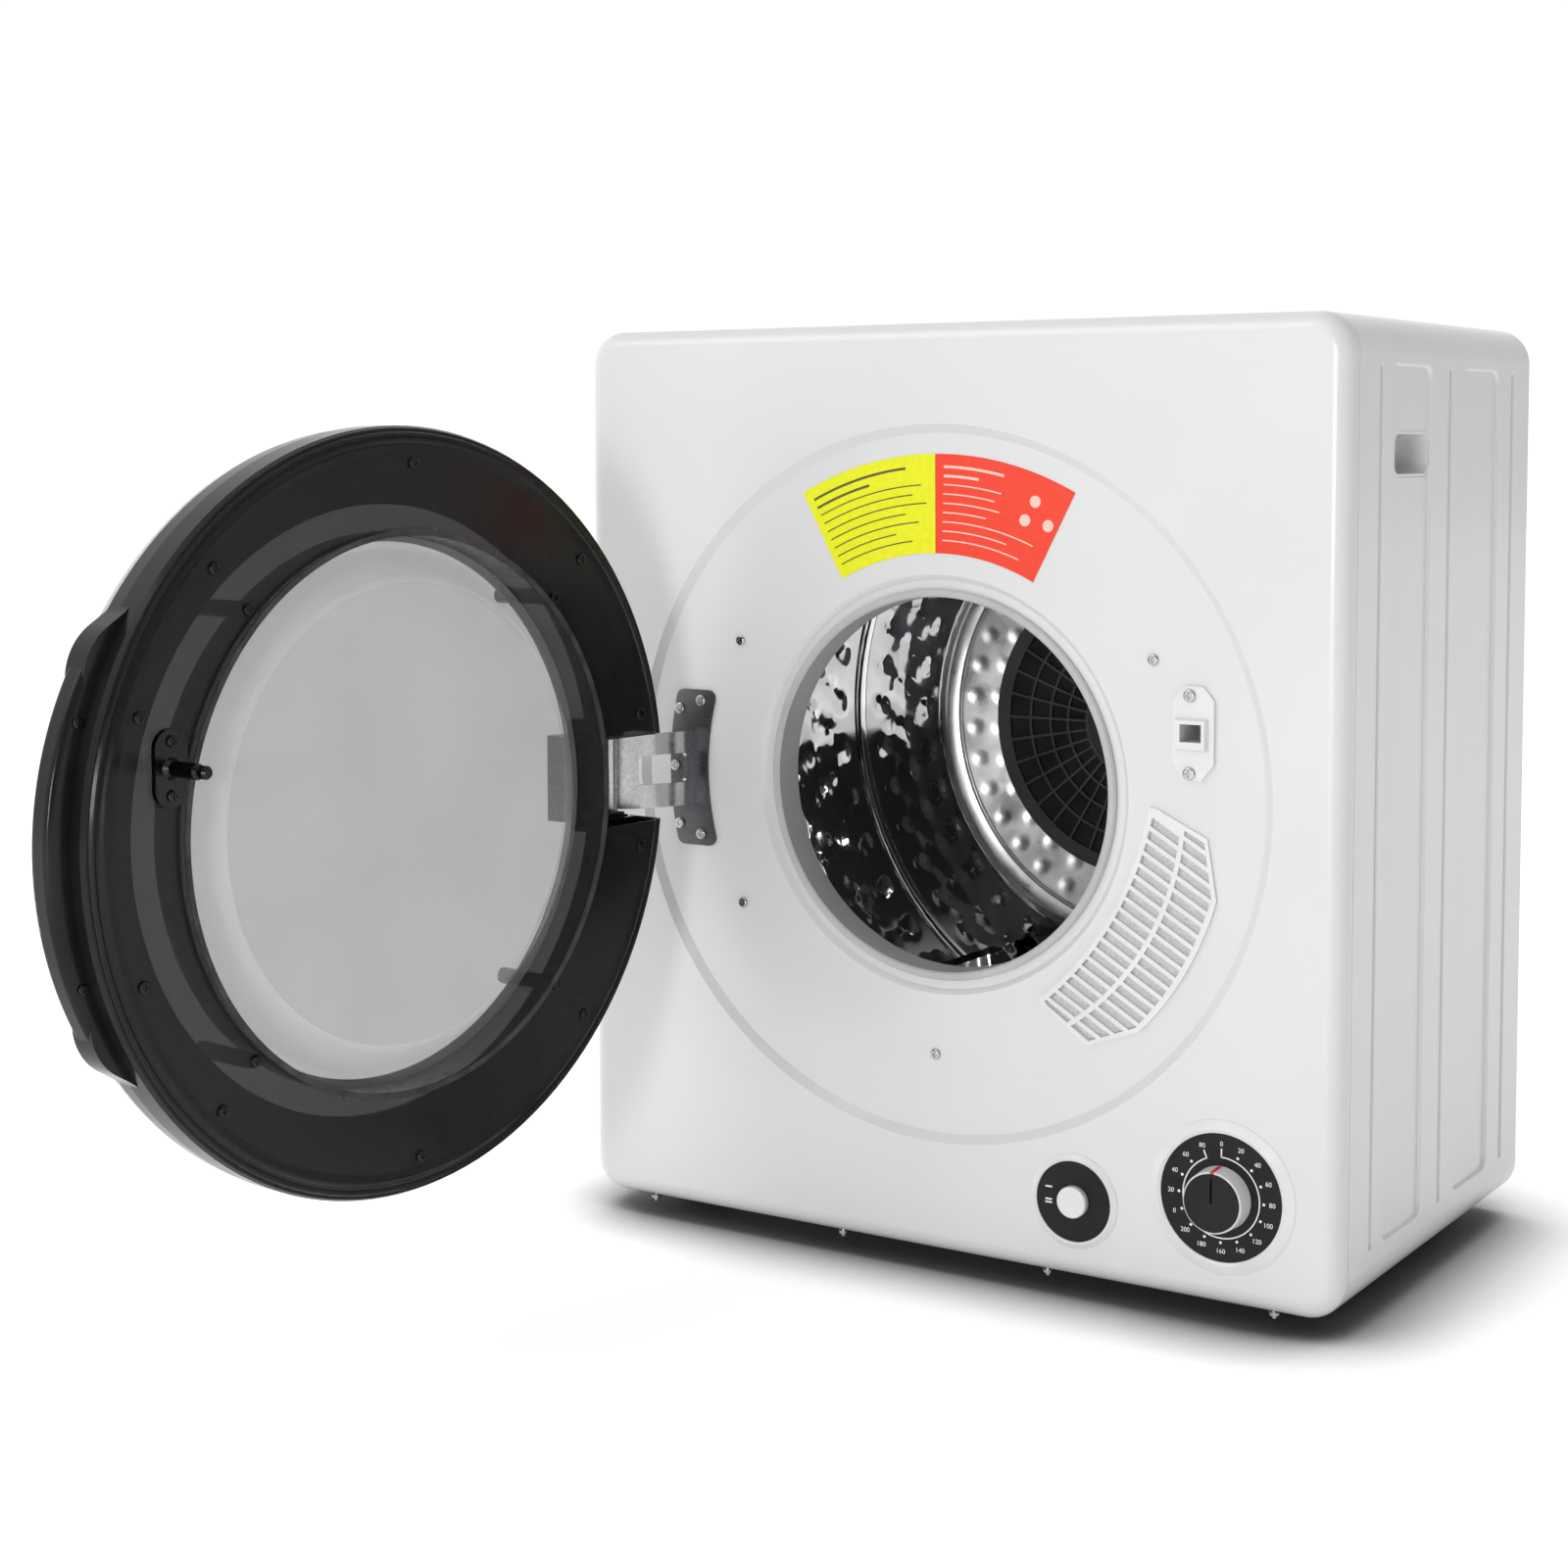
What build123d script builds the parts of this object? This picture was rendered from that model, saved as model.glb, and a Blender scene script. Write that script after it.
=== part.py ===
from build123d import *
import math
import os

# Compact vented clothes dryer with its round door standing open.
# The model is drawn from the front panel's face (Y = 0, +Y to the rear) and the panel's lower edge
# (Z = 0), and put on its feet at export: the row's origin is the centre of the footprint, on the floor.

# ---- driving dimensions, mm ----
WIDTH = 495.0
HEIGHT = 538.0
DEPTH = 300.0
SHEET = 1.2                      # painted steel, with its folds
CORNER_R = 21.0
FRONT_EDGE_R = 11.0
SEAM_Y = 13.0                    # front panel meets the side wrap
FOOT_H = 12.0
FOOT_R = 16.0
FOOT_X = 200.0
FOOT_Y = (60.0, 240.0)

RING_Z = 272.7                   # centre of the round recess, door and opening
RECESS_R = 207.6
RECESS_DEEP = 3.5
RECESS_BEVEL = 5.0
STEP_R = 121.5
STEP_BEVEL = 3.0
STEP_Y = 6.5
PORT_R = 112.0                   # hole in the front panel

DRUM_Z = 285.0                   # drum axis
DRUM_R = 222.0
DRUM_T = 0.8
NECK_R = 217.0
NECK_Y = (32.0, 50.0)
DRUM_REAR_Y = 277.0
HUB_Y = 289.0                    # rear face of the drum's hub plate
FILTER_R = 101.0
FILTER_FRONT_Y = 264.0
BULKHEAD_Y = 27.0
BULKHEAD_R = 214.2
AXLE_R = 7.95

DOOR_R = 206.2
DOOR_STANDOFF = 14.0             # closed door's rim in front of the panel
DOOR_OPEN_DEG = 95.9
HINGE_X = -198.0
HINGE_Y = -46.5
PIN_R = 2.5
RUN_GAP = 0.05                   # radial clearance of a running fit
FACE_N = 7.0                     # door's inner face above its rim plane
WINDOW_R = 148.0
FLANGE_R = 164.5
NOTCH_HALF = 25.6
HINGE_TALL = 45.0
LATCH_U = 158.2
LATCH_V = 39.5
RECEIVER_X = 160.0
RECEIVER_Z = 312.4
SHANK_R = 1.6                    # screw shanks, in holes a little wider

DIAL_X = 180.5
DIAL_Z = 60.6
DIAL_R = 35.3
BUTTON_X = 91.4
BUTTON_Z = 44.4
BUTTON_FACE_R = 22.8
BUTTON_R = 9.0
BUTTON_TRAVEL = 3.0

GRILLE_DEG = -30.5
EDGE_SCREW_X = (-204.0, -66.0, 71.0, 208.0)
EDGE_SCREW_Y = 8.6
MOTOR_X = -176.0
MOTOR_Z = 64.0
DRUM_PULLEY_R = 9.5
FAN_PULLEY_R = 24.0
FAN_HUB_PULLEY_R = 30.0
BELT_GAP = 0.3
BELT_T = 2.0
DRUM_BELT_Y = (126.0, 138.0)
FAN_BELT_Y = (304.0, 310.0)
IDLER_X = -90.0
IDLER_Z = 41.9
IDLER_R = 14.0
IDLER_PIVOT_X = -45.0
IDLER_PIVOT_Z = 22.0
REAR_Y = DEPTH - 2 * SHEET       # front face of the rear panel
HOUSING_Y = 340.0
EXHAUST_X = 95.0
EXHAUST_Z = 120.0
EXHAUST_R = 50.0
EXHAUST_END_Y = 368.0
INLET_X = 205.0
INLET_Z = 40.0


# ---- helpers ----
def front_plane(y):
    """Plane seen from the front: local x is X, local y is Z, and it extrudes towards -Y."""
    return Plane.XZ.offset(-y)


def slab(sketch, y0, y1, x=0.0, z=0.0):
    """Sketch drawn in X and Z, made solid from y0 to y1."""
    return extrude(front_plane(y1) * (Pos(x, z) * sketch), y1 - y0)


def rod(radius, y0, y1, x=0.0, z=0.0):
    return slab(Circle(radius), y0, y1, x, z)


def tube(outer, inner, y0, y1, x=0.0, z=0.0):
    return slab(Circle(outer) - Circle(inner), y0, y1, x, z)


def block(x0, x1, y0, y1, z0, z1):
    corner = (Align.MIN, Align.MIN, Align.MIN)
    return Pos(x0, y0, z0) * Box(x1 - x0, y1 - y0, z1 - z0, align=corner)


def spun(points, x=0.0, z=0.0):
    """Turned shape about an axis along Y, from (radius, y) points."""
    return Pos(x, 0, z) * revolve(make_face(Polyline(*points, close=True)), Axis.Y)


def spun_shell(outer, inner, x=0.0, z=0.0):
    """Turned shell between two smooth curves through (radius, y) points."""
    edges = [Spline(*outer), Line(outer[-1], inner[-1]), Spline(*inner), Line(inner[0], outer[0])]
    return Pos(x, 0, z) * revolve(make_face(Wire(edges)), Axis.Y)


def polar(radius, degrees):
    angle = math.radians(degrees)
    return (radius * math.cos(angle), radius * math.sin(angle))


def sector(r_in, r_out, deg0, deg1):
    """Annular sector as a sketch."""
    middle = (deg0 + deg1) / 2
    a, b = polar(r_in, deg0), polar(r_out, deg0)
    c, d = polar(r_out, deg1), polar(r_in, deg1)
    rim = ThreePointArc(b, polar(r_out, middle), c)
    root = ThreePointArc(d, polar(r_in, middle), a)
    return make_face([Line(a, b), rim, Line(c, d), root])


def round_hull(x0, z0, r0, x1, z1, r1):
    """Outline of a belt round two circles."""
    span = math.hypot(x1 - x0, z1 - z0)
    along = math.degrees(math.atan2(z1 - z0, x1 - x0))
    lean = math.degrees(math.acos((r0 - r1) / span))
    near = [(x0 + px, z0 + pz) for px, pz in (polar(r0, along + lean), polar(r0, along - lean))]
    far = [(x1 + px, z1 + pz) for px, pz in (polar(r1, along + lean), polar(r1, along - lean))]
    back = polar(r0, along + 180)
    tip = polar(r1, along)
    return make_face([
        Line(near[0], far[0]),
        ThreePointArc(far[0], (x1 + tip[0], z1 + tip[1]), far[1]),
        Line(far[1], near[1]),
        ThreePointArc(near[1], (x0 + back[0], z0 + back[1]), near[0]),
    ])


def screw(radius, height, y, x, z, shank=8.0):
    """Pan-head screw seen from the front, its head standing on the plane at y."""
    head = rod(radius, y - height, y, x, z)
    head = fillet(head.edges().group_by(Axis.Y)[0], height * 0.6)
    reach, deep = radius * 0.55, y - height * 0.45
    slot = block(x - reach, x + reach, y - height, deep, z - 0.45, z + 0.45)
    cross = block(x - 0.45, x + 0.45, y - height, deep, z - reach, z + reach)
    return head + rod(SHANK_R, y, y + shank, x, z) - slot - cross


def screw_holes(places, y0, y1):
    return slab(Sketch() + [Pos(x, z) * Circle(SHANK_R + RUN_GAP) for x, z in places], y0, y1)


def in_door(shape):
    """Door part drawn about its own centre, closed, moved to the open rest position."""
    closed = Pos(0, -DOOR_STANDOFF, RING_Z) * shape
    hinge = Axis((HINGE_X, HINGE_Y, 0), (0, 0, 1))
    return closed.rotate(hinge, -DOOR_OPEN_DEG)


def grille_outline(shrink=0.0):
    """Outline of the air intake about the recess centre, with its corners cut; shrunk evenly."""
    low, high = 134.5 + shrink, 182 - shrink
    corners = [(low, 29.3, 1.0), (138.5 + 0.4 * shrink, 29.3, 1.0), (170 - 0.5 * shrink, 24.6, 1.0),
               (high, 14.2, 0.3)]
    pts = [(r, half - math.degrees(part * shrink / r)) for r, half, part in corners]
    near = [polar(r, GRILLE_DEG + a) for r, a in pts]
    far = [polar(r, GRILLE_DEG - a) for r, a in reversed(pts)]
    rim = ThreePointArc(near[-1], polar(high, GRILLE_DEG), far[0])
    root = ThreePointArc(far[-1], polar(low - 5.5, GRILLE_DEG), near[0])
    return make_face([*Polyline(*near).edges(), rim, *Polyline(*far).edges(), root])


# ---- cabinet ----
def front_panel():
    lift = HEIGHT / 2
    outer = slab(RectangleRounded(WIDTH, HEIGHT, CORNER_R), 0, SEAM_Y, 0, lift)
    outer = fillet(outer.edges().group_by(Axis.Y)[0], FRONT_EDGE_R)
    wide, high = WIDTH - 2 * SHEET, HEIGHT - 2 * SHEET
    inner = slab(RectangleRounded(wide, high, CORNER_R - SHEET), SHEET, SEAM_Y + 1, 0, lift)
    inner = fillet(inner.edges().group_by(Axis.Y)[0], FRONT_EDGE_R - SHEET)
    flange = RectangleRounded(wide + 1, high + 1, CORNER_R - 1) - RectangleRounded(wide - 24, high - 24, 12)
    skin = outer - inner + slab(flange, SEAM_Y - SHEET, SEAM_Y, 0, lift)
    skin = skin - rod(RECESS_R + 1, -1, SHEET + 1, 0, RING_Z)
    floor, back = RECESS_DEEP, RECESS_DEEP + SHEET
    pan = spun([
        (RECESS_R + 1, 0), (RECESS_R, 0), (RECESS_R - RECESS_BEVEL, floor), (STEP_R, floor),
        (STEP_R - STEP_BEVEL, STEP_Y), (PORT_R, STEP_Y), (PORT_R, STEP_Y + SHEET),
        (STEP_R - STEP_BEVEL + 0.5, STEP_Y + SHEET), (STEP_R + 0.5, back),
        (RECESS_R - RECESS_BEVEL + 0.5, back), (RECESS_R + 1, SHEET)], 0, RING_Z)
    panel = skin + pan
    panel -= slab(grille_outline(3), -1, 9, 0, RING_Z)
    panel -= rod(8, -1, 9, DIAL_X, DIAL_Z)
    panel -= rod(BUTTON_R + 1, -1, 9, BUTTON_X, BUTTON_Z)
    panel -= slab(Rectangle(16, 13), -1, 9, RECEIVER_X, RECEIVER_Z)
    panel -= screw_holes(panel_screw_places() + hinge_screw_places() + receiver_screw_places(), 0, 9)
    for x in EDGE_SCREW_X:
        panel -= Pos(x, EDGE_SCREW_Y, 0) * Cylinder(SHANK_R + RUN_GAP, 8)
    return panel


def side_formings(side):
    """Recessed panels and beads pressed into one side: the pockets, and the metal behind them."""
    middle = 271.0
    tall = 482.0
    pockets = []
    backs = []
    for y_mid, wide, radius, deep in ((94, 63, 8, 1.8), (211, 63, 8, 1.8),
                                      (46, 5.6, 2.7, 1.2), (156, 5.6, 2.7, 1.2), (268, 5.6, 2.7, 1.2)):
        plane = Plane(origin=(side * WIDTH / 2, y_mid, middle), x_dir=(0, 1, 0), z_dir=(-side, 0, 0))
        pockets.append(extrude(plane * RectangleRounded(wide, tall, radius), deep, taper=40))
        grown = RectangleRounded(wide + 2, tall + 2, radius + 1)
        backs.append(extrude(plane * grown, deep + SHEET, taper=30))
    return pockets, backs


def grip_plane(side):
    return Plane(origin=(side * WIDTH / 2, 97.5, 462.8), x_dir=(0, 1, 0), z_dir=(-side, 0, 0))


def cabinet_wrap():
    lift = HEIGHT / 2
    inner = RectangleRounded(WIDTH - 2 * SHEET, HEIGHT - 2 * SHEET, CORNER_R - SHEET)
    y0 = SEAM_Y + 0.6
    shell = slab(RectangleRounded(WIDTH, HEIGHT, CORNER_R) - inner, y0, DEPTH, 0, lift)
    fold = WIDTH / 2 - 25
    shell -= block(-fold, fold, y0 - 1, DEPTH + 1, -1, SHEET + 1)
    lip = RectangleRounded(WIDTH - 2, HEIGHT - 2, CORNER_R - 1) - RectangleRounded(WIDTH - 36, HEIGHT - 36, 9)
    lips = slab(lip, DEPTH - SHEET, DEPTH, 0, lift) + slab(lip, SEAM_Y, SEAM_Y + SHEET, 0, lift)
    shell += lips - block(-fold, fold, 0, DEPTH + 1, -1, 30)
    for side in (-1, 1):
        pockets, backs = side_formings(side)
        for back in backs:
            shell += back
        for pocket in pockets:
            shell -= pocket
        shell -= extrude(grip_plane(side) * RectangleRounded(55, 25.4, 8), 10)
    return shell


def side_grip(side):
    """Moulded finger cup let into the side."""
    plane = grip_plane(side)
    start = Plane(origin=plane.origin + plane.z_dir * 2.0, x_dir=plane.x_dir, z_dir=plane.z_dir)
    cup = extrude(start * RectangleRounded(54.6, 25.0, 7.8), 21)
    cup = fillet(cup.faces().sort_by(Axis.X)[0 if side > 0 else -1].edges(), 3)
    behind = Plane(origin=plane.origin + plane.z_dir * 3.0, x_dir=plane.x_dir, z_dir=plane.z_dir)
    cup += extrude(behind * RectangleRounded(61, 31, 9), 1.6)
    hollow = extrude(plane * RectangleRounded(51.4, 21.8, 6.2), 21)
    hollow = fillet(hollow.faces().sort_by(Axis.X)[0 if side > 0 else -1].edges(), 3)
    return cup - hollow


def rear_panel():
    lift = HEIGHT / 2
    gap = SHEET + 0.3
    sketch = RectangleRounded(WIDTH - 2 * gap, HEIGHT - 2 * gap, CORNER_R - gap)
    plate = slab(sketch, REAR_Y, REAR_Y + SHEET, 0, lift)
    windows = [sector(46, 92, 45 * i + 4, 45 * i + 41) for i in range(8)]
    plate -= slab(Sketch() + windows, REAR_Y - 1, REAR_Y + 3, 0, DRUM_Z)
    plate -= rod(21, REAR_Y - 1, REAR_Y + 3, 0, DRUM_Z)
    plate -= rod(9, REAR_Y - 1, REAR_Y + 3, MOTOR_X, MOTOR_Z)
    plate -= rod(7.1, REAR_Y - 1, REAR_Y + 3, INLET_X, INLET_Z)
    slots = [Pos(150, 470 - 9 * i) * SlotOverall(70, 4) for i in range(5)]
    slots += [Pos(-150, 470 - 9 * i) * SlotOverall(70, 4) for i in range(5)]
    plate -= slab(Sketch() + slots, REAR_Y - 1, REAR_Y + 3)
    holes = [Pos(x, z) * Circle(3.25) for x in (-205, 205) for z in (110, 430)]
    return plate - slab(Sketch() + holes, REAR_Y - 1, REAR_Y + 3)


def housing_outline(grow=0.0):
    volute = round_hull(0, DRUM_Z, 112 + grow, EXHAUST_X, EXHAUST_Z, 62 + grow)
    guard = round_hull(0, DRUM_Z, 60 + grow, MOTOR_X, MOTOR_Z, 36 + grow)
    return volute + guard


def rear_housing():
    y0 = REAR_Y + SHEET
    outer = slab(housing_outline(), y0, HOUSING_Y)
    outer = fillet(outer.faces().sort_by(Axis.Y)[-1].edges(), 6)
    inner = slab(housing_outline(-2.5), y0 - 1, HOUSING_Y - 2.5)
    foot = slab(housing_outline(9) - housing_outline(-2.5), y0, y0 + 2.5)
    return outer + foot - inner - rod(EXHAUST_R - 2, y0, HOUSING_Y + 1, EXHAUST_X, EXHAUST_Z)


def exhaust_collar():
    collar = tube(EXHAUST_R, EXHAUST_R - 2, HOUSING_Y, EXHAUST_END_Y, EXHAUST_X, EXHAUST_Z)
    collar += tube(EXHAUST_R + 7, EXHAUST_R - 2, HOUSING_Y, HOUSING_Y + 2.5, EXHAUST_X, EXHAUST_Z)
    bars = Sketch() + [Pos(0, 14 * i) * Rectangle(2 * EXHAUST_R - 3, 2) for i in (-2, -1, 0, 1, 2)]
    bars = bars & Circle(EXHAUST_R - 1)
    return collar + slab(bars, HOUSING_Y, HOUSING_Y + 2.5, EXHAUST_X, EXHAUST_Z)


def base_pan():
    x1, y0, y1 = WIDTH / 2 - 26.5, SEAM_Y + 3, REAR_Y - 0.5
    z0 = 0.0
    pan = block(-x1, x1, y0, y1, z0, z0 + SHEET)
    walls = block(-x1, x1, y0, y1, z0, z0 + 15) - block(-x1 + SHEET, x1 - SHEET, y0 + SHEET, y1 - SHEET, 0, 20)
    slots = [Pos(-60 + 20 * i, 150, 0) * Box(5, 90, 9) for i in range(7)]
    return pan + walls - slots


def feet():
    made = []
    for x in (-FOOT_X, FOOT_X):
        for y in FOOT_Y:
            pad = Pos(x, y, -FOOT_H) * Cylinder(FOOT_R, FOOT_H, align=(Align.CENTER, Align.CENTER, Align.MIN))
            made.append(pad - Pos(x, y, -FOOT_H) * Cylinder(6, 8))
    return made


def opening_collar():
    z = RING_Z
    return spun([(108.5, 4.4), (109.5, 3.4), (112.4, 3.4), (113.4, 4.4), (113.4, STEP_Y),
                 (111.7, STEP_Y), (111.7, 24.5), (108.5, 24.5)], 0, z)


def front_bulkhead():
    y = BULKHEAD_Y
    plate = rod(BULKHEAD_R, y, y + SHEET, 0, DRUM_Z) + tube(BULKHEAD_R, BULKHEAD_R - SHEET, y, 50, 0, DRUM_Z)
    for px, pz in panel_screw_places():
        plate += rod(5, RECESS_DEEP + SHEET, y, px, pz)
    plate -= rod(112, y - 1, 60, 0, RING_Z)
    plate -= screw_holes(panel_screw_places(), 0, y - 4)
    return plate - slab(grille_outline(1), y - 1, y + 3, 0, RING_Z)


def panel_screw_places():
    return [(x, RING_Z + z) for x, z in (polar(156.8, a) for a in (30, 150, 211, 270))]


def drum_seal():
    return tube(216.7, BULKHEAD_R, BULKHEAD_Y + 5, 40, 0, DRUM_Z)


def drum_glides():
    pads = Sketch() + [sector(BULKHEAD_R, 216.7, a - 8, a + 8) for a in (60, 90, 120)]
    return slab(pads, 40.5, 49.5, 0, DRUM_Z).solids()


# ---- drum ----
def drum_shell():
    y0, y1 = NECK_Y
    return spun([(NECK_R, y0), (NECK_R + 1, y0), (NECK_R + 1, y1 - 1), (DRUM_R, y1 - 1),
                 (DRUM_R, DRUM_REAR_Y), (DRUM_R - DRUM_T, DRUM_REAR_Y), (DRUM_R - DRUM_T, y1),
                 (NECK_R, y1)], 0, DRUM_Z)


def drum_back():
    """Rear plate: flat annulus, rolled bead, cone falling back to the hub plate and its air windows."""
    r = DRUM_R - DRUM_T - 0.05
    y = DRUM_REAR_Y
    dish = spun([(r, y - 9), (r, y), (r - 5, y + 5), (157, y + 5), (150, y + 3.4), (147.5, y + 1.2),
                 (139.3, y + 5.6), (104, HUB_Y), (10, HUB_Y), (10, HUB_Y - 1), (104, HUB_Y - 1),
                 (139, y + 4.5), (146.5, y), (148.5, y), (151, y + 2.4), (157, y + 4), (r - 5.5, y + 4),
                 (r - 1, y), (r - 1, y - 9)], 0, DRUM_Z)
    windows = [sector(46, 90, 45 * i + 4, 45 * i + 41) for i in range(8)]
    return dish - slab(Sketch() + windows, HUB_Y - 3, HUB_Y + 3, 0, DRUM_Z)


def drum_filter_cover():
    """Lint filter cover: rim, thin rings and spokes round a solid cap, on a skirt."""
    front = FILTER_FRONT_Y
    rings = [(35, 47.2), (48.8, 60.2), (61.8, 75.2), (76.8, 91.5)]
    cells = Sketch() + [Circle(outer) - Circle(inner) for inner, outer in rings]
    spokes = Sketch() + [Rot(0, 0, 10 * i) * Rectangle(2 * FILTER_R - 2, 1.6) for i in range(18)]
    cover = slab(Circle(FILTER_R) - (cells - spokes), front, front + 2.2, 0, DRUM_Z)
    skirt = tube(FILTER_R, FILTER_R - 2, front, HUB_Y - 1, 0, DRUM_Z)
    knob = spun([(0, front - 2.5), (26, front - 2.5), (33, front), (0, front)], 0, DRUM_Z)
    return cover + skirt + knob


def drum_lifters():
    made = []
    wall = DRUM_R - DRUM_T - 0.1
    for turn in (0, 120, 240):
        fin = Polyline((wall + 6, -26), (wall - 8, -24), (wall - 34, -9), (wall - 38, 0),
                       (wall - 34, 9), (wall - 8, 24), (wall + 6, 26), close=True)
        section = (Rot(0, 0, turn) * make_face(fin)) & Circle(wall)
        made.append(slab(section, 62, 258, 0, DRUM_Z))
    return made


def drum_spindle():
    y = HUB_Y
    return spun([(0, y), (40, y), (40, y + 3), (16, y + 3), (16, y + 4.8), (AXLE_R, y + 4.8),
                 (AXLE_R, 334), (0, 334)], 0, DRUM_Z)


def bearing_housing():
    y = REAR_Y
    front = HUB_Y + 5.5
    return spun([(10, front), (20, front), (20, y - 2), (42, y - 2), (42, y), (12, y), (12, 330), (10, 330)],
                0, DRUM_Z)


def rear_bearing():
    return tube(10, AXLE_R + RUN_GAP, HUB_Y + 5.2, 331, 0, DRUM_Z)


def rear_duct_seal():
    return spun([(109, 288.4), (118, 286.8), (118, REAR_Y), (109, REAR_Y)], 0, DRUM_Z)


# ---- drive ----
def motor_body():
    can = rod(46, 172, 260, MOTOR_X, MOTOR_Z)
    can = fillet(can.edges(), 4)
    bosses = rod(16, 166, 266, MOTOR_X, MOTOR_Z)
    return can + bosses - rod(5 + RUN_GAP, 100, 300, MOTOR_X, MOTOR_Z)


def motor_bracket():
    made = block(MOTOR_X - 40, MOTOR_X + 40, 174, 258, SHEET, 3.7)
    for y in (178, 250):
        saddle = block(MOTOR_X - 34, MOTOR_X + 34, y, y + 3, 3.7, 44)
        made += saddle - rod(46, y - 1, y + 4, MOTOR_X, MOTOR_Z)
    return made


def motor_shaft():
    return rod(5, 120, 314, MOTOR_X, MOTOR_Z)


def motor_pulleys():
    """The small drum-belt pulley at the front of the shaft, the fan-belt pulley at the rear."""
    y0, y1 = DRUM_BELT_Y
    front = spun([(5, y0 - 3), (13, y0 - 3), (13, y0 - 0.5), (DRUM_PULLEY_R, y0 - 0.5), (DRUM_PULLEY_R, y1 + 0.5),
                  (13, y1 + 0.5), (13, y1 + 3), (5, y1 + 3)], MOTOR_X, MOTOR_Z)
    y0, y1 = FAN_BELT_Y
    rear = spun([(5, y0 - 2), (27, y0 - 2), (27, y0 - 0.5), (FAN_PULLEY_R, y0 - 0.5), (FAN_PULLEY_R, y1 + 0.5),
                 (27, y1 + 0.5), (27, y1 + 2), (5, y1 + 2)], MOTOR_X, MOTOR_Z)
    return [front, rear]


def belt(r_big, r_small, y0, y1):
    """Belt round a pulley on the drum axis and one on the motor shaft."""
    outer = round_hull(0, DRUM_Z, r_big + BELT_GAP + BELT_T, MOTOR_X, MOTOR_Z, r_small + BELT_GAP + BELT_T)
    inner = round_hull(0, DRUM_Z, r_big + BELT_GAP, MOTOR_X, MOTOR_Z, r_small + BELT_GAP)
    return slab(outer - inner, y0, y1)


def idler_bracket():
    x, z = IDLER_PIVOT_X, IDLER_PIVOT_Z
    ear = block(x - 9, x + 9, 108, 110.5, SHEET, z + 9)
    foot = block(x - 9, x + 9, 96, 110.5, SHEET, SHEET + 2.5)
    return ear + foot + rod(4, 110.5, 118, x, z)


def idler_arm():
    lever = slab(round_hull(IDLER_PIVOT_X, IDLER_PIVOT_Z, 9, IDLER_X, IDLER_Z, 7), 112, 115.5)
    lever -= rod(4 + RUN_GAP, 111, 117, IDLER_PIVOT_X, IDLER_PIVOT_Z)
    return lever + rod(4, 115.5, 142, IDLER_X, IDLER_Z)


def idler_pulley():
    y0, y1 = DRUM_BELT_Y
    wheel = tube(IDLER_R, 4 + RUN_GAP, y0 - 2, y1 + 2, IDLER_X, IDLER_Z)
    return wheel


def fan_wheel():
    """Centrifugal wheel with its belt pulley, running on the bearing tube."""
    y0, y1 = FAN_BELT_Y
    bore = 12 + RUN_GAP
    hub = spun([(bore, y0 - 2), (33, y0 - 2), (33, y0 - 0.5), (FAN_HUB_PULLEY_R, y0 - 0.5),
                (FAN_HUB_PULLEY_R, y1 + 0.5), (33, y1 + 0.5), (33, y1 + 2), (86, y1 + 4), (86, y1 + 6),
                (22, y1 + 6), (18, 329), (bore, 329)], 0, DRUM_Z)
    blades = Sketch() + [Rot(0, 0, 15 * i) * (Pos(70, 0) * (Rot(0, 0, 35) * Rectangle(32, 1.6)))
                         for i in range(24)]
    return hub + slab(blades, y1 + 5, 334, 0, DRUM_Z)


# ---- heater and intake ----
def intake_grille():
    axis = Rot(0, 0, GRILLE_DEG)
    columns = sector(125, 153.6, -40, 40) + sector(156.4, 178.8, -40, 40)
    rows = Sketch() + [Pos(155, -66.0 + 7.0 * i) * Rectangle(70, 4.6) for i in range(20)]
    cells = (axis * (columns & rows)) & grille_outline(2.6)
    cells = Sketch() + [cell for cell in cells.faces() if cell.area > 30]
    return slab(grille_outline() - cells, RECESS_DEEP - 1.6, RECESS_DEEP, 0, RING_Z)


def intake_felt():
    return slab(grille_outline(3.3), RECESS_DEEP + 0.1, RECESS_DEEP + 4, 0, RING_Z)


def heater_housing():
    wall = grille_outline(-4) - grille_outline(-3)
    return slab(wall, RECESS_DEEP + SHEET, BULKHEAD_Y, 0, RING_Z)


def ptc_heater():
    rails = Sketch() + [Pos(x, 0) * Rectangle(3, 96) for x in (144, 157, 170)]
    fins = Sketch() + [Pos(157, -45 + 4.5 * i) * Rectangle(28, 0.8) for i in range(21)]
    legs = Sketch() + [Pos(157, z) * Rectangle(29, 3) for z in (-46.5, 46.5)]
    core = slab(Rot(0, 0, GRILLE_DEG) * (rails + fins), 13, 23, 0, RING_Z)
    return core + slab(Rot(0, 0, GRILLE_DEG) * legs, 13, BULKHEAD_Y + 0.6, 0, RING_Z)


# ---- controls ----
def timer_body():
    body = block(DIAL_X - 23, DIAL_X + 23, SHEET, 38, DIAL_Z - 23, DIAL_Z + 23)
    return body - rod(3 + RUN_GAP, 0, 30, DIAL_X, DIAL_Z)


def control_faces():
    """Black face discs of the timer and of the heat button."""
    dial = tube(DIAL_R, 8.5, -1.0, 0, DIAL_X, DIAL_Z)
    return [dial, tube(BUTTON_FACE_R, BUTTON_R + 0.5, -1.0, 0, BUTTON_X, BUTTON_Z)]


def control_bezels():
    r = DIAL_R + 0.2
    dial = spun([(r, 0), (r, -1.7), (r + 1.8, -2.7), (42.5, -0.4), (42.5, 0)], DIAL_X, DIAL_Z)
    r = BUTTON_FACE_R + 0.2
    button = spun([(r, 0), (r, -1.4), (r + 1.2, -2.1), (27.0, -0.4), (27.0, 0)], BUTTON_X, BUTTON_Z)
    return [dial, button]


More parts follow.
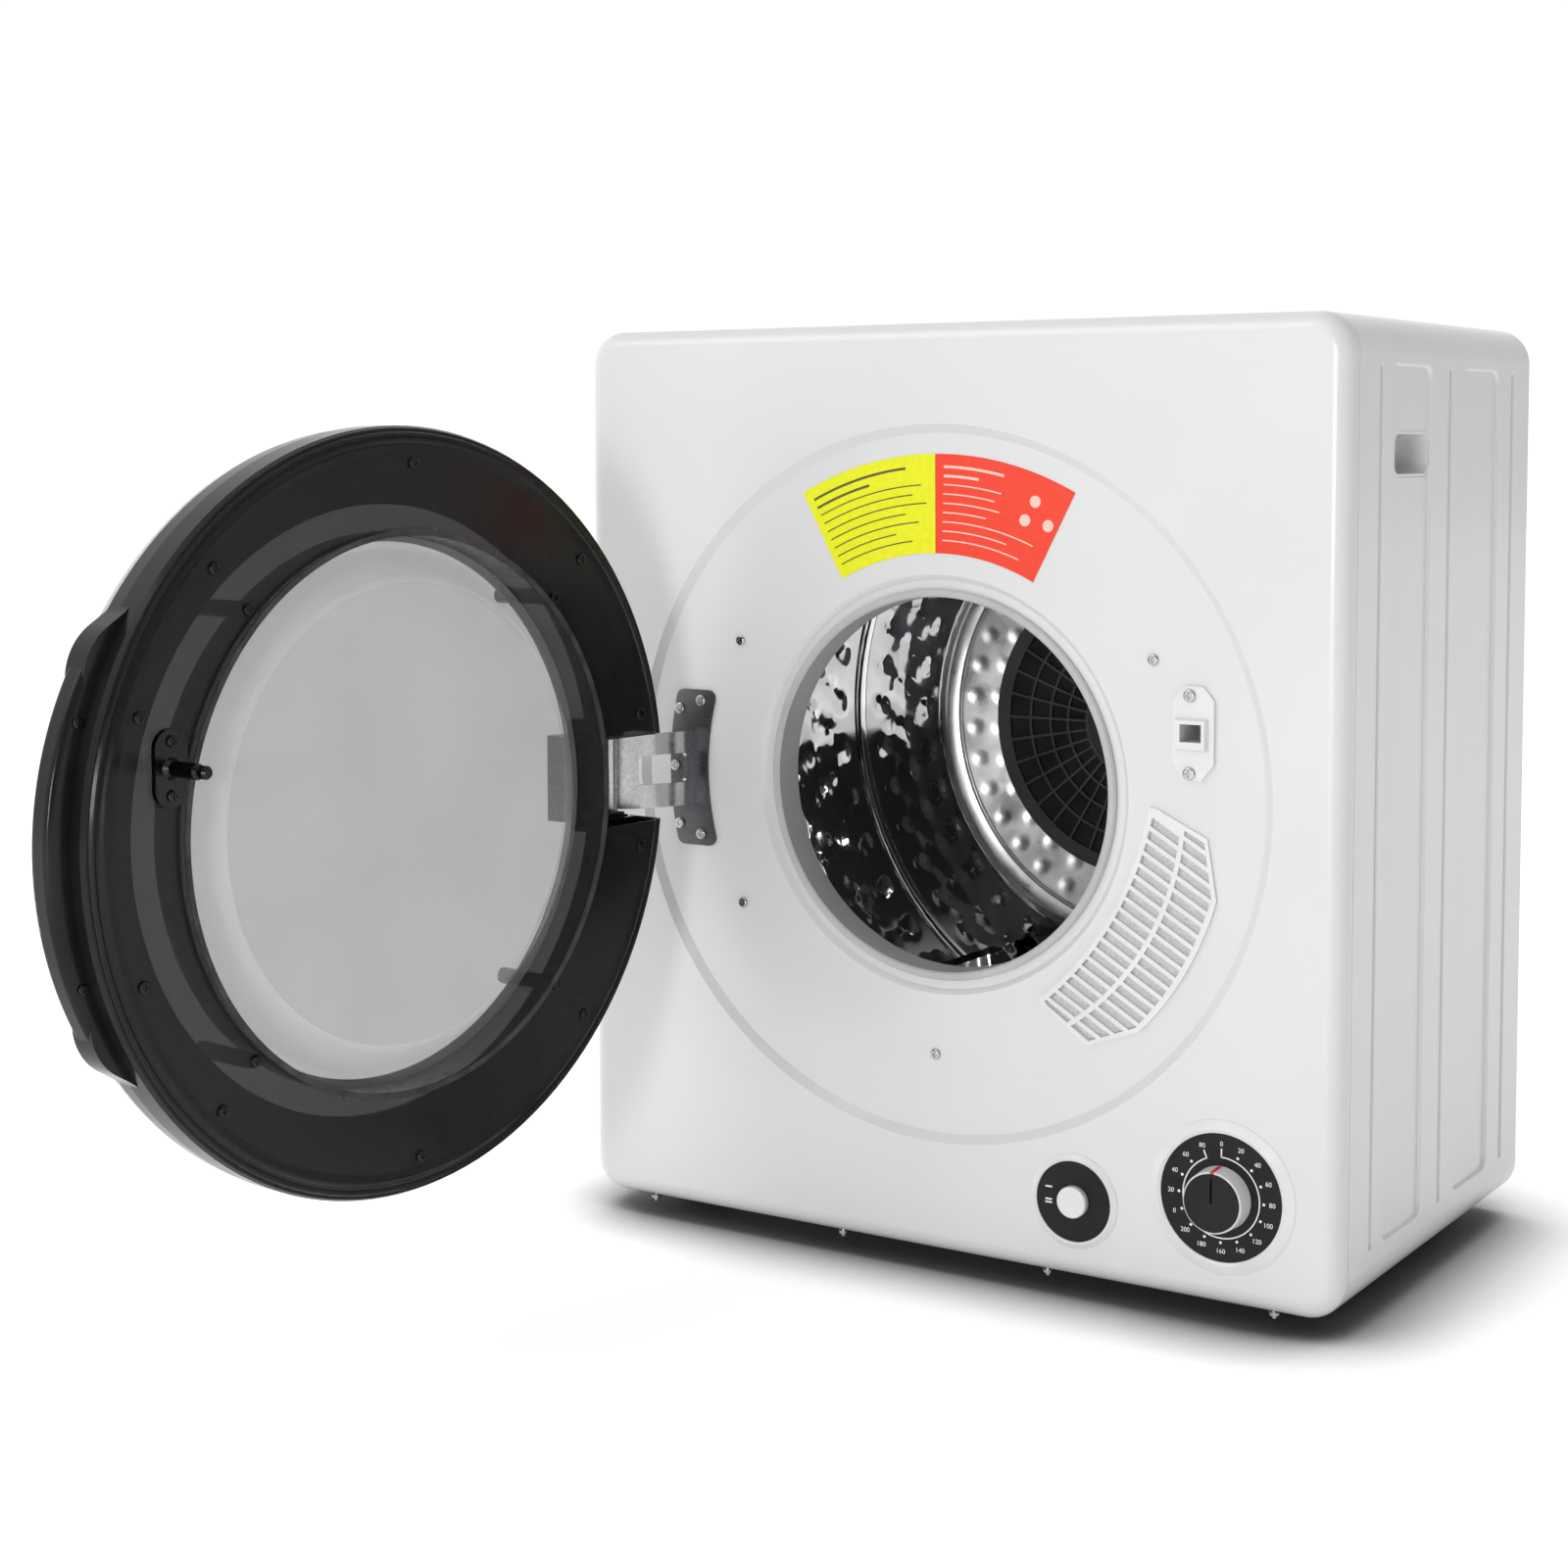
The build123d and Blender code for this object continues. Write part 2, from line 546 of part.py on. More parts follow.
def knob_skirt():
    skirt = spun([(3, -12.0), (3, 26), (0, 26), (0, -13.6), (16.5, -13.6), (16.9, -13.2), (17.6, -1.6),
                  (15.6, -1.6), (15.2, -12.0)], DIAL_X, DIAL_Z)
    return skirt


def knob_cap():
    cap = rod(15.9, -14.8, -13.6, DIAL_X, DIAL_Z)
    return fillet(cap.edges().group_by(Axis.Y)[0], 0.5)


def heat_button():
    cap = rod(BUTTON_R, -4.6, 5, BUTTON_X, BUTTON_Z)
    cap = fillet(cap.edges().group_by(Axis.Y)[0], 1.2)
    return cap + rod(3, 5, 12, BUTTON_X, BUTTON_Z)


def heat_switch():
    box = block(BUTTON_X - 13, BUTTON_X + 13, 8.5, 34, BUTTON_Z - 11, BUTTON_Z + 11)
    box += tube(13, 11, SHEET, 8.5, BUTTON_X, BUTTON_Z)
    return box - rod(3.3, 0, 12 + BUTTON_TRAVEL + 0.5, BUTTON_X, BUTTON_Z)


# ---- latch ----
def latch_receiver():
    x, z = RECEIVER_X, RECEIVER_Z
    plate = Polyline((-11.5, -17), (-11.5, 18), (-4, 25.5), (6, 25.5), (12.5, 18), (12.5, -17),
                     (5, -26), (-4, -26), close=True)
    body = slab(make_face(plate), RECESS_DEEP - 2, RECESS_DEEP, x, z)
    base = front_plane(RECESS_DEEP - 2) * (Pos(x - 0.3, z - 0.9) * Rectangle(19.4, 18))
    body += extrude(base, 3, taper=22)
    body += slab(Rectangle(15.4, 12.4), RECESS_DEEP, 26, x, z)
    body -= slab(Rectangle(12.6, 9.8), -9, 25.2, x, z)
    return body - screw_holes(receiver_screw_places(), 0, 9)


def receiver_screw_places():
    return [(RECEIVER_X - 1.6, RECEIVER_Z + dz) for dz in (20.3, -22.2)]


def door_switch():
    """Micro switch beside the latch socket."""
    x, z = RECEIVER_X + 7.7, RECEIVER_Z
    return block(x, x + 9, 9, 24, z - 14, z + 6)


# ---- hinge ----
def hinge_plate():
    outline = (Circle(187) - Circle(159.5)) & (Pos(-171.5, -0.4) * Rectangle(43, 95.2))
    outline = fillet(outline.vertices(), 5)
    plate = slab(outline, RECESS_DEEP - 1.5, RECESS_DEEP, 0, RING_Z)
    return plate - screw_holes(hinge_screw_places(), 0, 9)


def hinge_arm():
    """Gooseneck strip from the cabinet plate out to the knuckle round the pin."""
    line = FilletPolyline((-171, RECESS_DEEP - 1.5), (-171, -11), (-183, -37), (HINGE_X, HINGE_Y), radius=38)
    low = RING_Z - HINGE_TALL / 2
    flat = trace(line, 2.4)
    strip = Pos(0, 0, low) * extrude(flat, HINGE_TALL)
    knuckle = Pos(HINGE_X, HINGE_Y, low) * Cylinder(5, HINGE_TALL, align=(Align.CENTER, Align.CENTER, Align.MIN))
    bore = Pos(HINGE_X, HINGE_Y, low - 1) * Cylinder(PIN_R + RUN_GAP, 50, align=(Align.CENTER, Align.CENTER, Align.MIN))
    side = Plane(origin=(-140, -20.8, RING_Z + 0.6), x_dir=(0, 1, 0), z_dir=(-1, 0, 0))
    window = extrude(side * RectangleRounded(31.4, 17.8, 3), 90)
    lift = block(-230, -140, RECESS_DEEP - 1.5, 10, 0, HEIGHT)
    return strip + knuckle - bore - window - lift


def hinge_screw_places():
    return [(-179.8, 308.2), (-164.1, 313.6), (-180.2, 237.4), (-164.3, 231.8), (-183.2, 272.8)]


def hinge_pin():
    u = HINGE_X
    n = HINGE_Y + DOOR_STANDOFF
    pin = Pos(u, n, -28.5) * Cylinder(PIN_R, 57, align=(Align.CENTER, Align.CENTER, Align.MIN))
    return in_door(pin)


def door_hinge_bracket():
    """Two ears that hold the pin, joined by a web at the inner end of the notch."""
    n = HINGE_Y + DOOR_STANDOFF
    made = block(-155.2, -153, -40, -16, -25.2, 25.2)
    for v0 in (-25.2, 23.0):
        ear = block(-180, -153, -40, -16, v0, v0 + 2.2)
        ear += block(HINGE_X, -178, n - 5, -20, v0, v0 + 2.2)
        ear += Pos(HINGE_X, n, v0) * Cylinder(5, 2.2, align=(Align.CENTER, Align.CENTER, Align.MIN))
        made += ear
    for v0 in (-30.5, 25.0):
        made += block(-195, -165, -19.2, -17, v0, v0 + 5.5)
    made -= Pos(HINGE_X, n, -30) * Cylinder(PIN_R, 60, align=(Align.CENTER, Align.CENTER, Align.MIN))
    return in_door(made)


# ---- door, drawn closed about its own centre: X to the free edge, Y to the cabinet ----
def hinge_notch():
    return block(-215, -152, -41.5, 30, -NOTCH_HALF, NOTCH_HALF)


def door_frame():
    """Opaque outer ring: rim wall, flange round the window, and the housing over the hinge."""
    ring = spun([(DOOR_R - 2.5, -24), (DOOR_R - 1.2, -24), (DOOR_R, -13), (DOOR_R, 1.5), (DOOR_R - 1.2, 4),
                 (DOOR_R - 2.5, 4),
                 (DOOR_R - 2.5, -15), (FLANGE_R, -15), (FLANGE_R, -17), (DOOR_R - 2.5, -17)])
    shape = block(-206.5, -173.5, -45, -23, -33.5, 33.5)
    shape = fillet(shape.edges().filter_by(Axis.Z).sort_by(Axis.Y)[:2], 5)
    hood = shape & rod(DOOR_R, -60, 0)
    hood -= block(-DOOR_R + 2.5, -176, -41.5, -17, -31, 31)
    frame = ring + hood - block(-DOOR_R + 2.5, -176, -41.5, -17, -31, 31)
    return in_door(frame - hinge_notch())


def door_lens():
    """Domed see-through front cover."""
    outer = [(0, -53), (80, -51.6), (150, -47.5), (180, -43), (195.5, -37.5), (202.6, -31), (204.8, -24)]
    inner = [(0, -50.5), (80, -49.1), (149.6, -45.1), (179, -40.7), (193.7, -35.6), (200.2, -30), (202.3, -24)]
    dome = spun_shell(outer, inner)
    return in_door(dome - block(-210, -173, -60, 0, -34, 34))


def door_handle():
    """Crescent grip on the free edge, whose ends run out into the rim."""
    waist, neck, shoulder = (162.0, 128.5), (173.4, 114.6), (181.8, 109.4)
    bend, corner, tip = (166.6, 120.6), (189.9, 102.2), (195.6, 90.6)
    upper = [ThreePointArc(waist, bend, neck), Line(neck, shoulder), ThreePointArc(shoulder, corner, tip)]
    lower = [edge.mirror(Plane.XZ) for edge in upper]
    outer = ThreePointArc(tip, (219.0, 0), (tip[0], -tip[1]))
    back = Line(waist, (waist[0], -waist[1]))
    grip = make_face([*upper, *lower, outer, back]) - Circle(DOOR_R + 0.05)
    grip = slab(Sketch() + grip.faces().sort_by(SortBy.AREA)[-1], -21, -6)
    free_edges = [edge for edge in grip.edges() if (edge @ 0.5).X > 217]
    return in_door(fillet(free_edges, 4))


def door_inner_ring():
    """Smoky ring: flat face, lip round the window, and the tube that carries the window."""
    r = DOOR_R - 2.6
    rolls = [(r, 2.6), (r - 0.2, 4.4), (r - 1.3, 5.8), (r - 2.7, 5.8), (r - 3.9, 5.3), (r - 5.2, 6.0),
             (r - 6.4, 7.3), (r - 7.8, 7.8), (r - 9.4, 7.5), (r - 12, FACE_N)]
    ring = spun([*rolls, (152.5, FACE_N), (151.8, 9.8), (WINDOW_R, 9.8),
                 (WINDOW_R, -13.5), (WINDOW_R - 3.5, -13.5), (WINDOW_R - 3.5, -15.5), (WINDOW_R + 2.2, -15.5),
                 (WINDOW_R + 2.2, FACE_N - 2.2), (r - 6, FACE_N - 2.2), (r - 2.6, 2.6)])
    return in_door(ring - hinge_notch())


def door_seal():
    return in_door(tube(151.4, 148.4, 9.8, 11.0))


def door_window():
    rim = WINDOW_R - 0.3
    bowl = spun([(0, 7.5), (123.5, 7.5), (126.5, 6.0), (141, -10.8), (rim, -10.8), (rim, -13.4), (139.7, -13.4),
                 (124.6, 4.0), (122.6, 5.0), (0, 5.0)])
    return in_door(bowl)


def door_latch():
    """Base plate on the ring's face, and the stepped pin that enters the receiver."""
    plate = slab(SlotOverall(39, 19.5, rotation=90), FACE_N, FACE_N + 3, LATCH_U, LATCH_V)
    top = FACE_N + 3
    pin = spun([(0, top), (5.6, top), (4.0, top + 2.5), (4.0, 30), (2.6, 31.5), (3.4, 33.5), (3.4, 36.5), (2.2, 38.2), (0, 38.2)],
               LATCH_U, LATCH_V)
    return in_door(plate - rod(153, 0, 20) + pin)


def door_screws():
    """Black pan heads, drawn facing the cabinet."""
    made = []
    places = [polar(186.6, a) for a in (20.5, 46.5, 91.5, 135.5, 168)]
    places += [polar(156.5, a) for a in (46.8, 135.2)]
    for x, z in places + [(x, -z) for x, z in places]:
        made.append(door_screw(x, z, FACE_N, 3.3))
    for z in (13.4, -13.4):
        made.append(door_screw(LATCH_U, LATCH_V + z, FACE_N + 3, 3.0))
    for z in (64, -64):
        made.append(door_screw(200.6, z, -6, 2.8))
    return [in_door(s) for s in made]


def door_screw(x, z, n, radius):
    head = rod(radius, n, n + 1.6, x, z)
    head = fillet(head.edges().group_by(Axis.Y)[-1], 1.0)
    slot = block(x - 1.9, x + 1.9, n + 0.9, n + 3, z - 0.4, z + 0.4)
    cross = block(x - 0.4, x + 0.4, n + 0.9, n + 3, z - 1.9, z + 1.9)
    return head - slot - cross


# ---- fasteners, sticker, power entry ----
def cabinet_screws():
    floor = RECESS_DEEP
    made = [screw(3.2, 1.8, floor, x, z) for x, z in panel_screw_places()]
    made += [screw(3.4, 1.5, floor - 1.5, x, z) for x, z in hinge_screw_places()]
    made += [screw(3.6, 1.8, floor - 2, x, z) for x, z in receiver_screw_places()]
    for x in EDGE_SCREW_X:
        head = Pos(x, EDGE_SCREW_Y, -1.7) * Cylinder(3.3, 1.7, align=(Align.CENTER, Align.CENTER, Align.MIN))
        made.append(head + Pos(x, EDGE_SCREW_Y, 0) * Cylinder(SHANK_R, 7))
    return made


def rear_screws():
    edge = [(x, z) for x in (-238, 238) for z in (30, 200, 370, 505)] + [(x, 529) for x in (-110, 110)]
    rings = [(0, DRUM_Z, 116.8, (30, 90, 165)), (EXHAUST_X, EXHAUST_Z, 66.8, (-20,)),
             (MOTOR_X, MOTOR_Z, 40.8, (-170, -60))]
    foot = [(x + polar(radius, a)[0], z + polar(radius, a)[1]) for x, z, radius, angles in rings for a in angles]
    heads = [(place, DEPTH) for place in edge]
    heads += [(place, REAR_Y + SHEET + 2.5) for place in foot]
    made = []
    for (x, z), y in heads:
        head = rod(3.4, y, y + 1.8, x, z)
        made.append(fillet(head.edges().group_by(Axis.Y)[-1], 1.0))
    return made


def care_label():
    """Two plain sticker halves on the recess floor."""
    left = sector(133.7, 190.5, 90.5, 118.5)
    right = sector(133.7, 190.5, 62.5, 90.4)
    y = RECESS_DEEP
    return [slab(left, y - 0.15, y, 0, RING_Z), slab(right, y - 0.15, y, 0, RING_Z)]


def power_inlet():
    """Cable gland in the rear panel, without its cord."""
    y = REAR_Y + SHEET
    return spun([(4.2, y - 6), (7, y - 6), (7, y), (11, y), (11, y + 2.5), (8, y + 4), (6.5, y + 13),
                 (4.2, y + 13)], INLET_X, INLET_Z)


# ---- build and write ----
NODES = {
    "front_panel": front_panel,
    "cabinet_wrap": cabinet_wrap,
    "side_grip_left": lambda: side_grip(-1),
    "side_grip_right": lambda: side_grip(1),
    "rear_panel": rear_panel,
    "rear_housing": rear_housing,
    "exhaust_collar": exhaust_collar,
    "base_pan": base_pan,
    "feet": feet,
    "opening_collar": opening_collar,
    "front_bulkhead": front_bulkhead,
    "drum_seal": drum_seal,
    "drum_glides": drum_glides,
    "drum_shell": drum_shell,
    "drum_back": drum_back,
    "drum_filter_cover": drum_filter_cover,
    "drum_lifters": drum_lifters,
    "drum_spindle": drum_spindle,
    "bearing_housing": bearing_housing,
    "rear_bearing": rear_bearing,
    "rear_duct_seal": rear_duct_seal,
    "motor_body": motor_body,
    "motor_bracket": motor_bracket,
    "motor_shaft": motor_shaft,
    "motor_pulleys": motor_pulleys,
    "drum_belt": lambda: belt(DRUM_R, DRUM_PULLEY_R, *DRUM_BELT_Y),
    "fan_belt": lambda: belt(FAN_HUB_PULLEY_R, FAN_PULLEY_R, *FAN_BELT_Y),
    "idler_bracket": idler_bracket,
    "idler_arm": idler_arm,
    "idler_pulley": idler_pulley,
    "fan_wheel": fan_wheel,
    "intake_grille": intake_grille,
    "intake_felt": intake_felt,
    "heater_housing": heater_housing,
    "ptc_heater": ptc_heater,
    "timer_body": timer_body,
    "control_faces": control_faces,
    "control_bezels": control_bezels,
    "knob_skirt": knob_skirt,
    "knob_cap": knob_cap,
    "heat_button": heat_button,
    "heat_switch": heat_switch,
    "latch_receiver": latch_receiver,
    "door_switch": door_switch,
    "hinge_plate": hinge_plate,
    "hinge_arm": hinge_arm,
    "hinge_pin": hinge_pin,
    "door_hinge_bracket": door_hinge_bracket,
    "door_frame": door_frame,
    "door_lens": door_lens,
    "door_handle": door_handle,
    "door_inner_ring": door_inner_ring,
    "door_seal": door_seal,
    "door_window": door_window,
    "door_latch": door_latch,
    "door_screws": door_screws,
    "cabinet_screws": cabinet_screws,
    "rear_screws": rear_screws,
    "care_label": care_label,
    "power_inlet": power_inlet,
}


def as_one(made):
    """A list of solids becomes one group."""
    if isinstance(made, (list, ShapeList)):
        solids = [s for item in made for s in item.solids()]
        return Compound(children=solids)
    return made


os.makedirs("parts", exist_ok=True)
on_floor = Pos(0, -DEPTH / 2, FOOT_H)
for name, maker in NODES.items():
    export_step(on_floor * as_one(maker()), f"parts/{name}.step")
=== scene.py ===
import bpy
import math
from mathutils import Matrix, Vector


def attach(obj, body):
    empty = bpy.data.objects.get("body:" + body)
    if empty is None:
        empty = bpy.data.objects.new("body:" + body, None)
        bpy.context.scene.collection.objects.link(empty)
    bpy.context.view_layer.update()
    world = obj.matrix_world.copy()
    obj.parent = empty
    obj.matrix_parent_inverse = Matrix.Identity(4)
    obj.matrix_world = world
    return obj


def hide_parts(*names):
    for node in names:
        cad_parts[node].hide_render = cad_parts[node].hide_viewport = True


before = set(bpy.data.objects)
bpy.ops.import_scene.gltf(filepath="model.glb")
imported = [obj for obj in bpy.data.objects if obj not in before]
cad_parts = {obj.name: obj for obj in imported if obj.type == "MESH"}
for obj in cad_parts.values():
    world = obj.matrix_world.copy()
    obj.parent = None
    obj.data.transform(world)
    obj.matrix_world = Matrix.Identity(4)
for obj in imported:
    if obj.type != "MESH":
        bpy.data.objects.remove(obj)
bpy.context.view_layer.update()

# Compact clothes dryer. Places are in millimetres from the front panel's face and lower edge, as the
# real panel would be dimensioned, and at() turns them into metres in the row's frame.
DEPTH = 300.0
FOOT_H = 12.0
RING_Z = 272.7
DRUM_Z = 285.0
DRUM_R = 221.0
DRUM_FRONT_Y = 51.0
DRUM_REAR_Y = 277.0
FLOOR_Y = 3.5
STANDOFF = 14.0
HINGE = (-198.0, -46.5)
DOOR_OPEN_DEG = 95.9
DIAL = (180.5, 60.6)
BUTTON = (91.4, 44.4)
MM = 0.001

# dimples: pitch between rows, number of rows, gap between neighbours in a row, radius
WALL_DIMPLES = (25.0, 8, 30.0, 11.5)
PLATE_DIMPLES = (20.0, 3, 29.0, 9.5)
CONE_DIMPLES = (17.0, 2, 22.0, 7.0)
WALL_PRESS = 0.7
PLATE_PRESS = 0.8
CONE_PRESS = 0.6

# rear plate of the drum: flat annulus, bead, groove, cone
PLATE_Y = 281.0
BEAD_R = 157.0
CREST_R = 148.5
CREST_Y = 278.2
CONE_R = 138.4
HUB_R = 104.0
CONE_DEEP = 6.9

# printing on the dial and the button's face
PRINT_Y = -1.0
DIAL_STEP_DEG = 22.5
ARC_R = 22.0
TICK_R = 27.0
DOT_R = 24.8
NUMBER_R = 29.6
NUMBER_SIZE = 3.7

# sticker: inner and outer radius, radius of its first bar and the pitch of the next ones
LABEL_IN = 133.7
LABEL_OUT = 190.5
LINE_R = 184.0
LINE_PITCH = 5.3


# ---- places ----
def at(x, y, z):
    return Vector((x * MM, (y - DEPTH / 2) * MM, (z + FOOT_H) * MM))


def door_at(u, n, v):
    """Point in the open door: u to the free edge, n out of the inner face, v up."""
    turn = math.radians(-DOOR_OPEN_DEG)
    dx, dy = u - HINGE[0], n - STANDOFF - HINGE[1]
    x = HINGE[0] + dx * math.cos(turn) - dy * math.sin(turn)
    y = HINGE[1] + dx * math.sin(turn) + dy * math.cos(turn)
    return at(x, y, RING_Z + v)


def smooth(value):
    value = max(0.0, min(1.0, value))
    return value * value * (3 - 2 * value)


# ---- materials ----
class Shader:
    """A Principled material with helpers for its texture nodes."""

    def __init__(self, name, color, roughness, **plain):
        self.material = bpy.data.materials.new(name)
        self.material.use_nodes = True
        self.tree = self.material.node_tree
        self.bsdf = self.tree.nodes["Principled BSDF"]
        self.bsdf.inputs["Base Color"].default_value = (*color, 1.0)
        self.bsdf.inputs["Roughness"].default_value = roughness
        for socket, value in plain.items():
            self.bsdf.inputs[socket.replace("_", " ")].default_value = value
        self.places = self.tree.nodes.new("ShaderNodeTexCoord").outputs["Object"]

    def link(self, source, target):
        self.tree.links.new(source, target)

    def cloud(self, scale, detail=4.0, rough=0.55, stretch=None):
        node = self.tree.nodes.new("ShaderNodeTexNoise")
        node.inputs["Scale"].default_value = scale
        node.inputs["Detail"].default_value = detail
        node.inputs["Roughness"].default_value = rough
        vector = self.places
        if stretch:
            mapping = self.tree.nodes.new("ShaderNodeMapping")
            mapping.inputs["Scale"].default_value = stretch
            self.link(vector, mapping.inputs["Vector"])
            vector = mapping.outputs["Vector"]
        self.link(vector, node.inputs["Vector"])
        return node.outputs["Fac"]

    def cells(self, scale):
        node = self.tree.nodes.new("ShaderNodeTexVoronoi")
        node.inputs["Scale"].default_value = scale
        self.link(self.places, node.inputs["Vector"])
        return node.outputs["Distance"]

    def ramp(self, source, low, high, start, end):
        node = self.tree.nodes.new("ShaderNodeMapRange")
        node.inputs["From Min"].default_value = low
        node.inputs["From Max"].default_value = high
        node.inputs["To Min"].default_value = start
        node.inputs["To Max"].default_value = end
        self.link(source, node.inputs["Value"])
        return node.outputs["Result"]

    def tint(self, source, first, second, low=0.35, high=0.65):
        """Base colour from first to second as the source goes from low to high."""
        node = self.tree.nodes.new("ShaderNodeMix")
        node.data_type = "RGBA"
        node.inputs["A"].default_value = (*first, 1.0)
        node.inputs["B"].default_value = (*second, 1.0)
        self.link(self.ramp(source, low, high, 0.0, 1.0), node.inputs["Factor"])
        self.link(node.outputs["Result"], self.bsdf.inputs["Base Color"])

    def gloss(self, source, low, high, span=(0.3, 0.7)):
        self.link(self.ramp(source, span[0], span[1], low, high), self.bsdf.inputs["Roughness"])

    def bump(self, source, strength, deep):
        node = self.tree.nodes.new("ShaderNodeBump")
        node.inputs["Strength"].default_value = strength
        node.inputs["Distance"].default_value = deep
        previous = self.bsdf.inputs["Normal"]
        if previous.is_linked:
            self.link(previous.links[0].from_socket, node.inputs["Normal"])
        self.link(source, node.inputs["Height"])
        self.link(node.outputs["Normal"], self.bsdf.inputs["Normal"])


def enamel():
    """White baked enamel with a faint orange peel."""
    s = Shader("white_enamel", (0.66, 0.664, 0.668), 0.28, Coat_Weight=0.35, Coat_Roughness=0.12)
    s.tint(s.cloud(9, 3), (0.635, 0.638, 0.641), (0.655, 0.657, 0.659))
    s.gloss(s.cloud(8, 2), 0.27, 0.30, (0.0, 1.0))
    s.bump(s.cloud(60, 2), 0.03, 0.00002)
    return s.material


def moulded(name, color, roughness, grain=900, deep=0.00004, vary=0.12, coat=0.0, shine=0.5):
    """Moulded plastic: slight colour drift, worn gloss and a fine grain."""
    s = Shader(name, color, roughness, Coat_Weight=coat, Coat_Roughness=0.1, Specular_IOR_Level=shine)
    light = [min(1.0, c * (1 + vary)) for c in color]
    dark = [c * (1 - vary) for c in color]
    s.tint(s.cloud(25, 5), dark, light)
    s.gloss(s.cloud(80, 5), roughness * 0.82, min(1.0, roughness * 1.25))
    s.bump(s.cloud(grain, 2), 0.25, deep)
    s.bump(s.cloud(30, 2), 0.08, 0.0002)
    return s.material


def metal(name, color, roughness, stretch=None, scale=300, deep=0.00003):
    """Bare or plated metal with drawn or brushed lines and worn patches."""
    s = Shader(name, color, roughness, Metallic=1.0)
    light = [min(1.0, c * 1.1) for c in color]
    dark = [c * 0.82 for c in color]
    s.tint(s.cloud(35, 5), dark, light)
    s.gloss(s.cloud(scale, 4, stretch=stretch), roughness * 0.7, roughness * 1.35)
    s.bump(s.cloud(scale, 3, stretch=stretch), 0.2, deep)
    return s.material


def zinc():
    """Hot-dip zinc sheet: pale, with flakes that differ in gloss."""
    s = Shader("galvanised", (0.55, 0.57, 0.58), 0.4, Metallic=1.0)
    s.tint(s.cloud(60, 3), (0.53, 0.55, 0.56), (0.60, 0.62, 0.63), 0.3, 0.7)
    s.gloss(s.cells(70), 0.36, 0.44, (0.0, 1.0))
    s.bump(s.cloud(500, 3), 0.15, 0.00003)
    return s.material


def mirror_steel():
    """Bright-annealed steel of the drum, nearly a mirror."""
    s = Shader("mirror_steel", (0.66, 0.66, 0.67), 0.05, Metallic=1.0)
    s.tint(s.cloud(20, 4), (0.62, 0.62, 0.63), (0.70, 0.70, 0.71))
    s.gloss(s.cloud(120, 4), 0.03, 0.08)
    s.bump(s.cloud(260, 2), 0.04, 0.00001)
    return s.material


def smoked(name, color, alpha, roughness=0.07, shine=0.2):
    """Smoked clear plastic, polished, with faint flow marks."""
    s = Shader(name, color, roughness, Alpha=alpha, Specular_IOR_Level=shine)
    light = [min(1.0, c * 1.25) for c in color]
    s.tint(s.cloud(12, 3), color, light)
    s.gloss(s.cloud(40, 4), roughness * 0.8, roughness * 1.5)
    s.bump(s.cloud(18, 2), 0.05, 0.0004)
    return s.material


def felt(name, color):
    """Pressed fibre felt."""
    s = Shader(name, color, 0.95, Sheen_Weight=0.5, Sheen_Roughness=0.6)
    light = [min(1.0, c * 1.2) for c in color]
    dark = [c * 0.75 for c in color]
    s.tint(s.cloud(900, 6, 0.8), dark, light)
    s.bump(s.cloud(1300, 4, 0.8), 0.8, 0.0004)
    return s.material


def rubber():
    """Black rubber, dusty in places."""
    s = Shader("black_rubber", (0.022, 0.022, 0.022), 0.7)
    s.tint(s.cloud(60, 6), (0.015, 0.015, 0.015), (0.05, 0.048, 0.045))
    s.gloss(s.cloud(90, 4), 0.55, 0.85)
    s.bump(s.cloud(700, 3), 0.3, 0.0001)
    return s.material


def print_ink(name, color):
    """Printed ink or sticker film."""
    s = Shader(name, color, 0.45)
    s.tint(s.cloud(300, 4), [c * 0.93 for c in color], color)
    s.gloss(s.cloud(400, 3), 0.4, 0.55)
    s.bump(s.cloud(900, 2), 0.1, 0.00001)
    return s.material


WHITE = enamel()
WHITE_PLASTIC = moulded("white_plastic", (0.69, 0.694, 0.698), 0.34, vary=0.03, coat=0.15)
GREY_PLASTIC = moulded("collar_grey", (0.43, 0.433, 0.44), 0.42, vary=0.05)
REAR_GREY = moulded("rear_grey", (0.40, 0.41, 0.42), 0.55, grain=500, deep=0.0001)
DARK_PLASTIC = moulded("filter_black", (0.058, 0.058, 0.060), 0.5, vary=0.15)
DIAL_BLACK = moulded("dial_black", (0.010, 0.010, 0.011), 0.42, vary=0.25, shine=0.2)
PIANO = moulded("door_black", (0.010, 0.010, 0.011), 0.18, grain=60, deep=0.00003, vary=0.3,
                shine=0.2)
LENS = smoked("smoked_lens", (0.03, 0.03, 0.03), 0.32, 0.12)
RING = smoked("smoked_ring", (0.014, 0.014, 0.015), 0.74, 0.20)
WINDOW = smoked("window_clear", (0.42, 0.43, 0.44), 0.22, 0.08, 0.4)
# grey sheet material for the painted shade on the window's flat face
WINDOW_SHADE_FILM = smoked("painted_window_shade", (0.34, 0.34, 0.343), 0.07, 0.12, 0.3)
POST = smoked("smoked_post", (0.10, 0.10, 0.105), 0.85, 0.2)
RUBBER = rubber()
FELT = felt("felt_grey", (0.52, 0.53, 0.54))
SCREEN = moulded("lint_screen", (0.026, 0.026, 0.027), 0.85, grain=1400, deep=0.0001, vary=0.3,
                 shine=0.1)
MIRROR = mirror_steel()
SATIN_STEEL = metal("satin_steel", (0.92, 0.92, 0.925), 0.33, scale=40, deep=0.000002)
ZINC = zinc()
STEEL = metal("turned_steel", (0.52, 0.52, 0.53), 0.3)
SATIN = metal("satin_arm", (0.50, 0.505, 0.51), 0.22, scale=600, deep=0.00001)
GRAPHITE = metal("graphite_plate", (0.13, 0.133, 0.14), 0.34, stretch=(1, 1, 8), scale=240)
